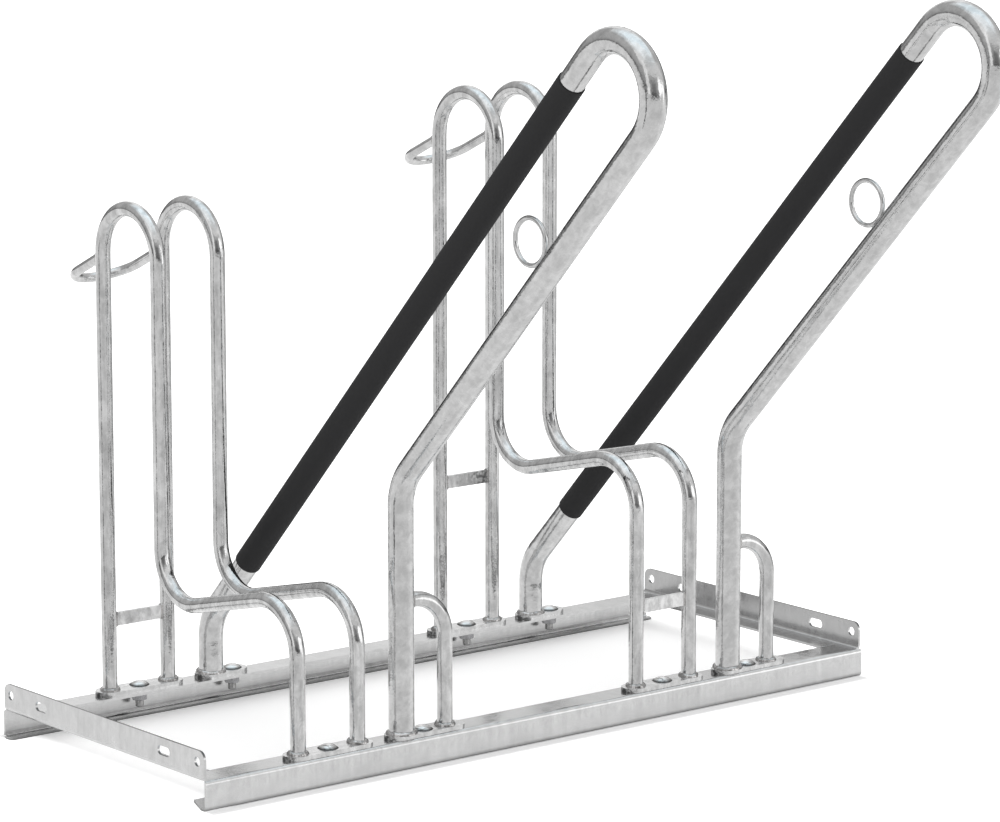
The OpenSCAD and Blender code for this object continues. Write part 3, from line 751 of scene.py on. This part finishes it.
class RACK_OT_stage(Operator):
    """Set up the pale floor, the soft light and the camera"""

    bl_idname = "rack.stage"
    bl_label = "Studio"

    def execute(self, context):
        settings = context.scene.rack_stage
        self.floor(settings)
        self.world(context.scene, settings)
        self.lights(settings)
        self.camera(context.scene, settings)
        return {"FINISHED"}

    @staticmethod
    def plane(name, corners, material):
        mesh = bpy.data.meshes.new(name)
        mesh.from_pydata(corners, [], [tuple(range(len(corners)))])
        mesh.materials.append(material)
        thing = bpy.data.objects.new(name, mesh)
        bpy.context.scene.collection.objects.link(thing)

    def floor(self, settings):
        """Pale matt floor that the zinc mirrors close by; further off it mirrors the studio."""
        material, sheet = new_material("Pale floor")
        grain = sheet.noise(sheet.place(), 6.0, detail=2.0)
        colour = sheet.tone(settings.floor_colour, sheet.spread(grain, 0.3, 0.7, 0.995, 1.005))
        matt = sheet.add("ShaderNodeBsdfDiffuse", Color=colour)
        seen = sheet.add("ShaderNodeLightPath")
        glow = sheet.add("ShaderNodeEmission", Strength=sheet.times(
            seen.outputs["Is Camera Ray"], self.floor_glow(sheet, settings.floor_lift)))
        both = sheet.add("ShaderNodeAddShader")
        sheet.tree.links.new(matt.outputs[0], both.inputs[0])
        sheet.tree.links.new(glow.outputs[0], both.inputs[1])
        far = sheet.spread(seen.outputs["Ray Length"], 0.03, 0.12, 0.0, 1.0)
        sheet.finish(sheet.mix(sheet.times(seen.outputs["Is Glossy Ray"], far), both,
                               sheet.add("ShaderNodeBsdfTransparent")))
        reach = 40.0
        self.plane("floor", [(-reach, -reach, 0), (reach, -reach, 0),
                             (reach, reach, 0), (-reach, reach, 0)], material)

    @staticmethod
    def floor_glow(sheet, lift):
        """Glow for the camera: least in a strip along both rails, which paints a contact shadow
        there, and most away from the rack, which paints light over the rack's shadow.
        """
        strip, strip_fade = 0.013, 0.020
        # The strip's low glow is a painted contact shadow; the clear glow is painted light over the
        # rack's shadow away from it
        strip_glow, clear_glow = 0.04, lift + 0.36
        across, along = sheet.position("X"), sheet.position("Y")
        left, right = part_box("left_end_rail")[0].x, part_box("right_end_rail")[1].x
        front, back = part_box("front_rail")[0].y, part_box("rear_rail")[1].y
        away = sheet.math("MAXIMUM", sheet.math("SUBTRACT", front, along),
                          sheet.math("SUBTRACT", along, back))
        outside = sheet.spread(away, -0.004, 0.0, 0.0, 1.0)
        under_ends = sheet.math("MAXIMUM",
                                sheet.spread(across, left + 0.025, left + 0.045, 1.0, 0.0),
                                sheet.spread(across, right - 0.03, right + 0.06, 0.0, 1.0))
        past_ends = sheet.math("MAXIMUM", sheet.spread(across, left - 0.001, left, 1.0, 0.0),
                               sheet.spread(across, right, right + 0.001, 0.0, 1.0))
        beside_ends = sheet.total(sheet.times(past_ends, outside),
                                  sheet.times(under_ends, sheet.math("SUBTRACT", 1.0, outside)))
        clear = sheet.math("MAXIMUM", sheet.spread(away, strip, strip_fade, 0.0, 1.0), beside_ends)
        return sheet.total(sheet.spread(away, 0.0, 0.003, lift, strip_glow),
                           sheet.times(clear, clear_glow))

    @staticmethod
    def toward(sheet, way, bearing, rise, inner, outer):
        """One where a direction lies within inner degrees of a target, zero beyond outer."""
        a, e = math.radians(bearing), math.radians(rise)
        target = (math.sin(a) * math.cos(e), math.cos(a) * math.cos(e), math.sin(e))
        return sheet.spread(sheet.vector("DOT_PRODUCT", way, target),
                            math.cos(math.radians(outer)), math.cos(math.radians(inner)), 0.0, 1.0)

    def world(self, scene, settings):
        """Even white dome; for the zinc a studio with softbox, backdrop, lamps and flag."""
        world = bpy.data.worlds.new("Studio")
        world.use_nodes = True
        scene.world = world
        sheet = NodeSheet(world.node_tree)
        way = sheet.add("ShaderNodeTexCoord").outputs["Generated"]
        height = sheet.add("ShaderNodeSeparateXYZ", Vector=way).outputs["Z"]
        flat = sheet.vector("NORMALIZE", sheet.vector("MULTIPLY", way, (1.0, 1.0, 0.0)))
        ramp = sheet.add("ShaderNodeValToRGB", Fac=sheet.spread(height, -1.0, 1.0, 0.0, 1.0))
        stops = ramp.color_ramp.elements
        for i, (place, shade) in enumerate(ROOM_LEVELS):
            stop = stops[i] if i < 2 else stops.new(place)
            stop.color = (shade, shade, shade, 1.0)

        def beside(bearing, inner, outer, low, high, fade):
            """One in an upright field around a bearing, from a low to a high height."""
            return sheet.times(self.toward(sheet, flat, bearing, 0.0, inner, outer),
                               sheet.times(sheet.spread(height, low - fade, low, 0.0, 1.0),
                                           sheet.spread(height, high, high + fade, 1.0, 0.0)))

        def around(bearing, rise, inner, outer):
            """One in a round field."""
            return self.toward(sheet, way, bearing, rise, inner, outer)

        gain = 1.0
        for *field, change in ROOM_FIELDS:
            gain = sheet.times(gain, sheet.total(1.0, sheet.times(beside(*field), change)))
        room = sheet.add("ShaderNodeVectorMath", {"operation": "SCALE"}, Scale=gain)
        sheet.feed(room, "0", ramp.outputs["Color"])
        lamps = 0.0
        for field, power in ((beside(38.0, 10.0, 21.0, 0.28, 0.72, 0.05), 0.68),
                             (beside(30.0, 6.0, 20.0, 0.15, 0.30, 0.05), 0.66),
                             (around(132.0, 6.0, 10.0, 18.0), 1.06),
                             (around(158.0, 14.0, 9.0, 18.0), 1.12),
                             (beside(251.0, 8.0, 15.0, 0.02, 0.60, 0.05), 0.72),
                             (around(260.0, 44.0, 14.0, 27.0), 0.65),
                             (beside(75.0, 30.0, 60.0, 0.28, 0.72, 0.12), 0.42),
                             (beside(185.0, 55.0, 80.0, 0.52, 0.80, 0.08), 0.54),
                             (beside(130.0, 18.0, 40.0, 0.20, 0.60, 0.16), 0.54)):
            lamps = sheet.math("MAXIMUM", lamps, sheet.times(field, power))
        glow = sheet.add("ShaderNodeCombineXYZ", X=lamps, Y=lamps, Z=lamps)
        lit_room = sheet.vector("MAXIMUM", room.outputs["Vector"], glow.outputs["Vector"])
        # The softbox is cool, and most so on the side that the photograph was taken from
        cool = sheet.add("ShaderNodeMix", {"data_type": "VECTOR"})
        facing = sheet.spread(self.toward(sheet, flat, 39.0, 0.0, 80.0, 130.0),
                              0.0, 1.0, 0.45, 1.0)
        sheet.tree.links.new(sheet.times(sheet.spread(height, 0.66, 0.93, 0.0, 1.0), facing),
                             cool.inputs["Factor"])
        cool.inputs["A"].default_value = (1.0, 1.0, 1.0)
        cool.inputs["B"].default_value = settings.softbox_colour
        studio = sheet.add("ShaderNodeBackground", Strength=settings.room_light,
                           Color=sheet.vector("MULTIPLY", lit_room, cool.outputs["Result"]))
        dome = sheet.add("ShaderNodeBackground", Color=WHITE, Strength=settings.world_light)
        white = sheet.add("ShaderNodeBackground", Color=WHITE, Strength=1.0)
        seen = sheet.add("ShaderNodeLightPath")
        light = sheet.mix(seen.outputs["Is Glossy Ray"], dome, studio)
        shown = sheet.mix(seen.outputs["Is Camera Ray"], light, white)
        out = sheet.add("ShaderNodeOutputWorld")
        sheet.tree.links.new(shown.outputs[0], out.inputs["Surface"])

    @staticmethod
    def lights(settings):
        """One large soft lamp overhead, for the object's shadow; the zinc doesn't mirror it."""
        data = bpy.data.lights.new("key light", "AREA")
        data.shape = "RECTANGLE"
        data.size = data.size_y = 3.0
        data.energy = settings.key_power
        lamp = bpy.data.objects.new("key light", data)
        bpy.context.scene.collection.objects.link(lamp)
        place, target = Vector((-1.2, -1.6, 3.0)), Vector((0.0, 0.0, 0.3))
        lamp.location = place
        lamp.rotation_euler = (target - place).to_track_quat("-Z", "Y").to_euler()
        lamp.visible_glossy = False

    @staticmethod
    def camera(scene, settings):
        data = bpy.data.cameras.new("photo camera")
        data.lens = settings.lens
        data.sensor_width = 36.0
        data.clip_start, data.clip_end = 0.1, 200.0
        camera = bpy.data.objects.new("photo camera", data)
        scene.collection.objects.link(camera)
        camera.location = settings.stand
        a, p = settings.bearing, settings.tilt
        ahead = Vector((math.sin(a) * math.cos(p), math.cos(a) * math.cos(p), -math.sin(p)))
        camera.rotation_euler = ahead.to_track_quat("-Z", "Y").to_euler()
        scene.camera = camera
        scene.view_settings.view_transform = "Standard"


class RACK_PT_panel(Panel):
    """Lists the pieces of the rack and their settings"""

    bl_idname = "RACK_PT_panel"
    bl_label = "Bike leaning rack"
    bl_space_type = "VIEW_3D"
    bl_region_type = "UI"
    bl_category = "Rack"

    def draw(self, context):
        for settings in (context.scene.rack_steel, context.scene.rack_fasteners,
                         context.scene.rack_sleeve, context.scene.rack_stage):
            box = self.layout.box()
            for name in settings.bl_rna.properties.keys():
                if name not in ("rna_type", "name"):
                    box.prop(settings, name)
        for operator in OPERATORS:
            self.layout.operator(operator.bl_idname)


SETTINGS = {
    "rack_steel": RackSteelSettings,
    "rack_fasteners": RackFastenerSettings,
    "rack_sleeve": RackSleeveSettings,
    "rack_stage": RackStageSettings,
}
OPERATORS = (RACK_OT_base_frame, RACK_OT_wheel_holders, RACK_OT_leaning_bows, RACK_OT_sleeves,
             RACK_OT_foot_plates, RACK_OT_fasteners, RACK_OT_welds, RACK_OT_stage)


def register():
    for kind in (*SETTINGS.values(), *OPERATORS, RACK_PT_panel):
        bpy.utils.register_class(kind)
    for name, kind in SETTINGS.items():
        setattr(bpy.types.Scene, name, PointerProperty(type=kind))


def unregister():
    for name in SETTINGS:
        delattr(bpy.types.Scene, name)
    for kind in reversed((*SETTINGS.values(), *OPERATORS, RACK_PT_panel)):
        bpy.utils.unregister_class(kind)


def main():
    register()
    for operator in OPERATORS:
        area, name = operator.bl_idname.split(".")
        getattr(getattr(bpy.ops, area), name)()


if __name__ == "__main__":
    main()
